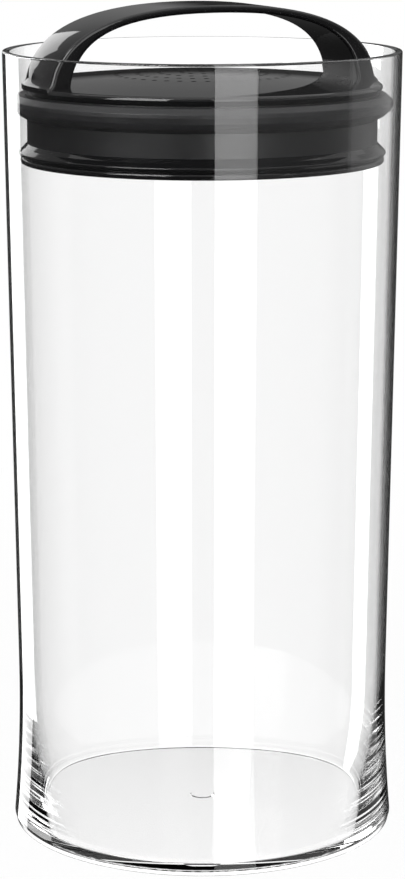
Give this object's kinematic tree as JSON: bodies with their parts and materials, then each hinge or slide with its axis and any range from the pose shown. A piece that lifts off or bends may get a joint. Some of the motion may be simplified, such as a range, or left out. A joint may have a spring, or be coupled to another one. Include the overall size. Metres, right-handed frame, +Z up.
{
  "type": "vacuum seal canister",
  "caption": "Tall clear food canister with a black plunger lid that slides down the bore, a vented cap with an arched handle, silicone gaskets, a one-way flap and a lift-to-open release valve.",
  "frame": {"origin": "centre of the canister's base, on the surface it stands on", "axes": "+Z up along the canister's axis, +X along the handle's arch, +Y across the handle"},
  "size_m": [0.12, 0.12, 0.2538],
  "materials": {
    "clear_plastic": "clear, polished",
    "gloss_black": "high gloss",
    "satin_black": "satin",
    "black_silicone": "satin",
    "valve_silicone": "matte",
    "screw_steel": "bright",
    "spring_steel": "drawn wire"
  },
  "bodies": {
    "canister": {"canister": "clear_plastic"},
    "lid": {"lid_drum": "satin_black", "upper_gasket": "black_silicone", "lower_gasket": "black_silicone", "clamp_ring": "satin_black", "bottom_plate": "gloss_black", "flap_pin": "satin_black", "guide_bridge": "satin_black", "bridge_screws": "screw_steel", "return_spring": "spring_steel"},
    "handle": {"handle_cap": "gloss_black", "vent_grille": "satin_black", "stop_washers": "screw_steel", "stop_screws": "screw_steel", "valve_stem": "satin_black", "stem_screw": "screw_steel", "release_plug": "valve_silicone"},
    "flap": {"check_flap": "valve_silicone"}
  },
  "joints": [
    {"name": "lid_slide", "type": "slide", "parent": "canister", "child": "lid", "axis": [0, 0, 1], "range_m": [-0.15, 0.045], "deforming": ["upper_gasket", "lower_gasket"]},
    {"name": "handle_lift", "type": "slide", "parent": "lid", "child": "handle", "axis": [0, 0, 1], "range_m": [0, 0.004], "stiffness_N_per_m": 500, "springref_m": -0.006, "deforming": ["return_spring"]},
    {"name": "flap_lift", "type": "slide", "parent": "lid", "child": "flap", "axis": [0, 0, 1], "range_m": [0, 0.0012]}
  ]
}
